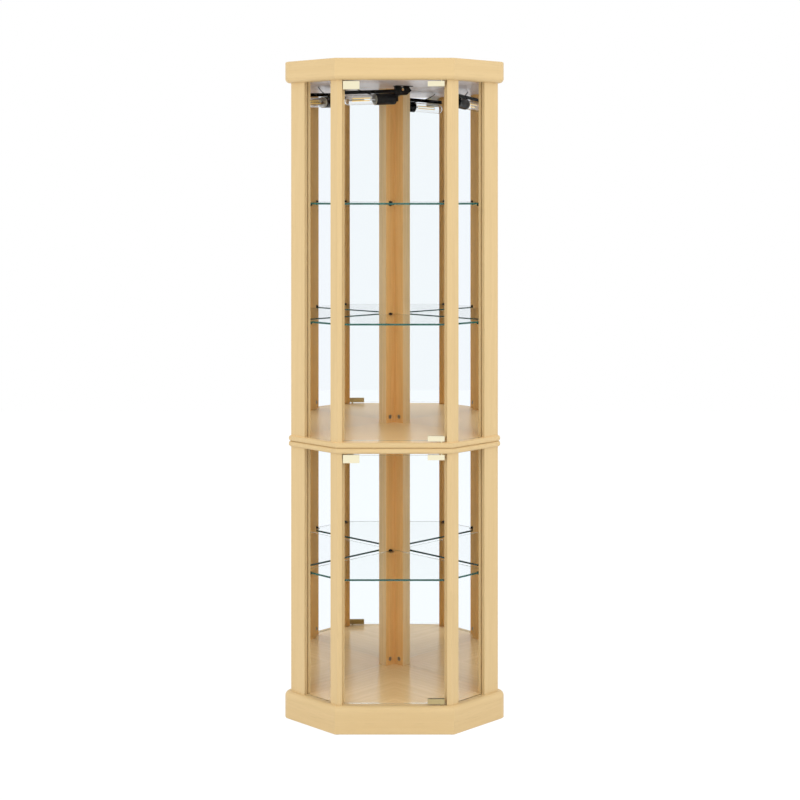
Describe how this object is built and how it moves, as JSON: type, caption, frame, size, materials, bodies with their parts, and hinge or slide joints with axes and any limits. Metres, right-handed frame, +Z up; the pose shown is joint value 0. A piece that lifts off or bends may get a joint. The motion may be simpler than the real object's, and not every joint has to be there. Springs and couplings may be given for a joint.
{
  "type": "corner curio cabinet",
  "caption": "Tall five-sided wooden corner curio cabinet with mirrored backs, glass side lights, glass shelves, frameless glass doors and a small lamp under its top.",
  "frame": {"origin": "middle of the base, on the floor: the bounding box's bottom centre", "axes": "+Z up; the doors face -Y and the corner of the room is at +Y; +X is to the right seen from the front"},
  "size_m": [0.6, 0.4534, 1.8],
  "materials": {
    "moulding_wood": "satin varnished oak veneer",
    "post_wood": "satin varnished oak veneer",
    "panel_wood": "satin varnished oak veneer",
    "hardboard": "bare hardboard",
    "mirror": "silvered",
    "door_glass": "clear, polished edges",
    "light_glass": "clear",
    "shelf_glass": "clear, polished edges",
    "brass": "polished",
    "strike_brass": "bright polished",
    "pin_plastic": "matt black",
    "latch_plastic": "matt",
    "socket_black": "matt black",
    "bracket_black": "satin black",
    "lead_black": "matt black",
    "bulb_glass": "clear",
    "bulb_cap": "plain",
    "filament": "yellow",
    "clip_steel": "zinc plated",
    "steel": "zinc plated",
    "cam_dark": "dark zinc",
    "glide_plastic": "matt"
  },
  "bodies": {
    "cabinet": {"base_back_rails": "moulding_wood", "base_floor": "panel_wood", "base_front_rail": "moulding_wood", "base_side_rails": "moulding_wood", "bulb_cap": "bulb_cap", "bulb_filaments": "filament", "bulb_glass": "bulb_glass", "cam_fasteners": "cam_dark", "cap_back_rails": "moulding_wood", "cap_ceiling": "panel_wood", "cap_front_rail": "moulding_wood", "cap_side_rails": "moulding_wood", "cap_top": "panel_wood", "glides": "glide_plastic", "hinge_bushes": "brass", "lamp_bracket": "bracket_black", "lamp_lead": "lead_black", "lamp_socket": "socket_black", "lower_back_boards": "hardboard", "lower_door_posts": "post_wood", "lower_latch_body": "latch_plastic", "lower_left_corner_post": "post_wood", "lower_left_light": "light_glass", "lower_left_mirror": "mirror", "lower_rear_post": "post_wood", "lower_right_corner_post": "post_wood", "lower_right_light": "light_glass", "lower_right_mirror": "mirror", "lower_shelf": "shelf_glass", "lower_shelf_pins": "pin_plastic", "middle_shelf": "shelf_glass", "middle_shelf_pins": "pin_plastic", "mirror_clips": "clip_steel", "screws": "steel", "section_bolts": "steel", "upper_back_boards": "hardboard", "upper_door_posts": "post_wood", "upper_latch_body": "latch_plastic", "upper_left_corner_post": "post_wood", "upper_left_light": "light_glass", "upper_left_mirror": "mirror", "upper_rear_post": "post_wood", "upper_right_corner_post": "post_wood", "upper_right_light": "light_glass", "upper_right_mirror": "mirror", "upper_shelf": "shelf_glass", "upper_shelf_pins": "pin_plastic", "waist_lower_board": "moulding_wood", "waist_upper_board": "moulding_wood"},
    "upper_door": {"upper_door_bottom_hinge": "brass", "upper_door_glass": "door_glass", "upper_door_top_hinge": "brass", "upper_strike_plate": "strike_brass"},
    "lower_door": {"lower_door_bottom_hinge": "brass", "lower_door_glass": "door_glass", "lower_door_top_hinge": "brass", "lower_strike_plate": "strike_brass"},
    "upper_plunger": {"upper_latch_plunger": "latch_plastic"},
    "lower_plunger": {"lower_latch_plunger": "latch_plastic"}
  },
  "joints": [
    {"name": "upper_door_hinge", "type": "hinge", "parent": "cabinet", "child": "upper_door", "pos_m": [0.1255, -0.20717, 1.2588], "axis": [0, 0, 1], "range_deg": [0, 110]},
    {"name": "lower_door_hinge", "type": "hinge", "parent": "cabinet", "child": "lower_door", "pos_m": [0.1255, -0.20717, 0.4103], "axis": [0, 0, 1], "range_deg": [0, 110]},
    {"name": "upper_latch_press", "type": "slide", "parent": "cabinet", "child": "upper_plunger", "axis": [0, 1, 0], "range_m": [0, 0.003], "stiffness_N_per_m": 200},
    {"name": "lower_latch_press", "type": "slide", "parent": "cabinet", "child": "lower_plunger", "axis": [0, 1, 0], "range_m": [0, 0.003], "stiffness_N_per_m": 200}
  ]
}
